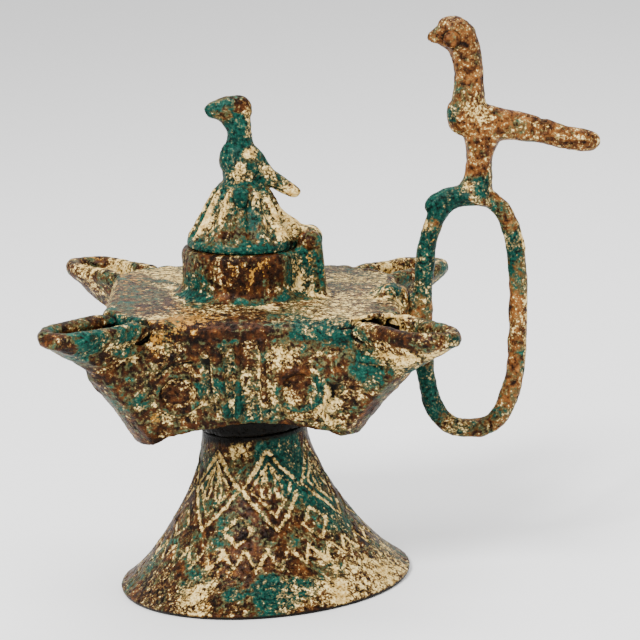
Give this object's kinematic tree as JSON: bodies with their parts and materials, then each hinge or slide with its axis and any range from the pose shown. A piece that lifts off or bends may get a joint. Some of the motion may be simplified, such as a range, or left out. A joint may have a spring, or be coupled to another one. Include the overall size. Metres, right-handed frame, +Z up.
{
  "type": "oil lamp",
  "caption": "Cast copper-alloy oil lamp: hollow body with open spouts, bell foot, hinged ribbed lid topped by a bird, and an oval finger ring with a second bird.",
  "frame": {"origin": "on the ground, under the centre of the whole lamp's box seen from above", "axes": "+Z up, +X towards the finger ring, +Y to the far side when the ring is on the right"},
  "size_m": [0.1664, 0.1204, 0.166],
  "materials": {
    "foot_metal": "brown patina with verdigris, cream crust in the engraved lines",
    "body_metal": "brown and green patina, cream crust in the hollows",
    "handle_metal": "rubbed brown patina speckled with cream, green at the ring's shoulder",
    "lid_metal": "deep green patina with cream crust",
    "pin_metal": "dark brown patina"
  },
  "bodies": {
    "lamp": {"foot": "foot_metal", "lamp_body": "body_metal", "handle": "handle_metal", "hinge_pin": "pin_metal"},
    "lid": {"lid": "lid_metal"}
  },
  "joints": [
    {"name": "lid_hinge", "type": "hinge", "parent": "lamp", "child": "lid", "pos_m": [-0.00513, 0, 0.10355], "axis": [0, 1, 0], "range_deg": [0, 90]}
  ]
}
